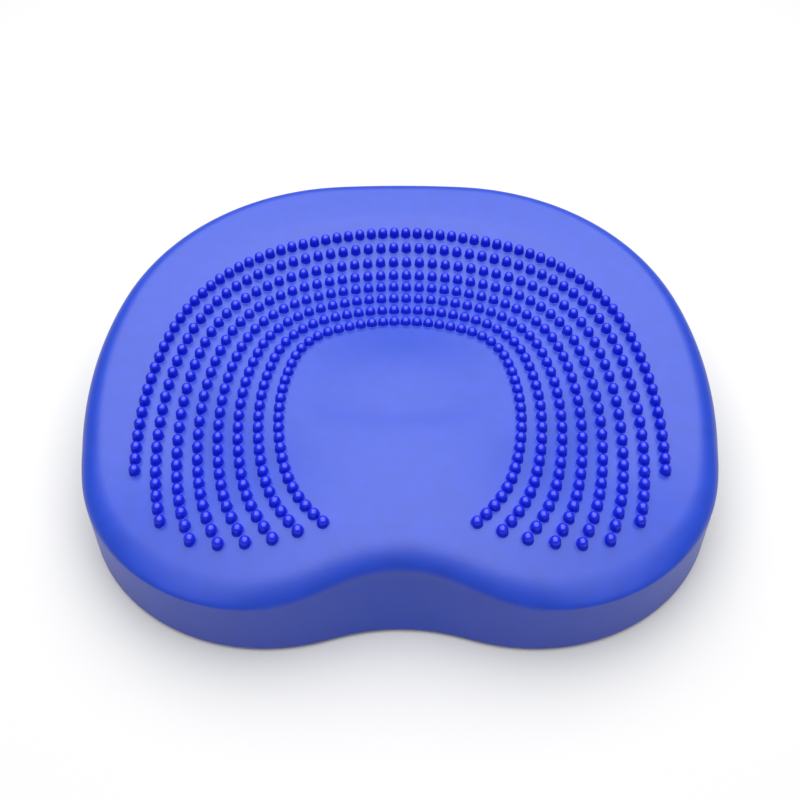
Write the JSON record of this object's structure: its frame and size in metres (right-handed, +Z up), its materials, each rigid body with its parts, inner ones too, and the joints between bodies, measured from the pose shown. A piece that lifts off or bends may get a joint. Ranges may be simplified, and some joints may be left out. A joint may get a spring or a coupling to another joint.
{
  "type": "wobble cushion",
  "caption": "Air-filled kidney-shaped seat cushion with a raised rear rim, a front notch and horseshoe rows of massage nubs; its deck sinks and tilts on a soft side wall.",
  "frame": {"origin": "under the middle of the cushion's box, on the flat underside", "axes": "+X across the seat, +Y towards the high rear rim, -Y towards the notch, +Z up"},
  "size_m": [0.36, 0.3108, 0.0734],
  "materials": {
    "pvc_skin": "semi-gloss moulded soft PVC, ultramarine blue",
    "pvc_nubs": "glossier moulded soft PVC of the same blue, on the nubs",
    "valve_rubber": "matt black moulded rubber"
  },
  "bodies": {
    "base": {"base_skin": "pvc_skin", "needle_valve": "valve_rubber"},
    "lower_wall": {"sink_wall": "pvc_skin"},
    "middle_wall": {"pitch_wall": "pvc_skin"},
    "deck": {"roll_wall": "pvc_skin", "deck_skin": "pvc_skin", "nub_row_1": "pvc_nubs", "nub_row_2": "pvc_nubs", "nub_row_3": "pvc_nubs", "nub_row_4": "pvc_nubs", "nub_row_5": "pvc_nubs", "nub_row_6": "pvc_nubs", "nub_row_7": "pvc_nubs", "nub_row_8": "pvc_nubs"}
  },
  "joints": [
    {"name": "deck_sink", "type": "slide", "parent": "base", "child": "lower_wall", "axis": [0, 0, 1], "range_m": [-0.006, 0], "stiffness_N_per_m": 20000, "deforming": ["sink_wall"]},
    {"name": "deck_pitch", "type": "hinge", "parent": "lower_wall", "child": "middle_wall", "pos_m": [0, 0, 0.018], "axis": [1, 0, 0], "range_deg": [-2.2, 2.2], "stiffness_Nm_per_rad": 250, "deforming": ["pitch_wall"]},
    {"name": "deck_roll", "type": "hinge", "parent": "middle_wall", "child": "deck", "pos_m": [0, 0, 0.0285], "axis": [0, 1, 0], "range_deg": [-2.2, 2.2], "stiffness_Nm_per_rad": 250, "deforming": ["roll_wall"]}
  ]
}
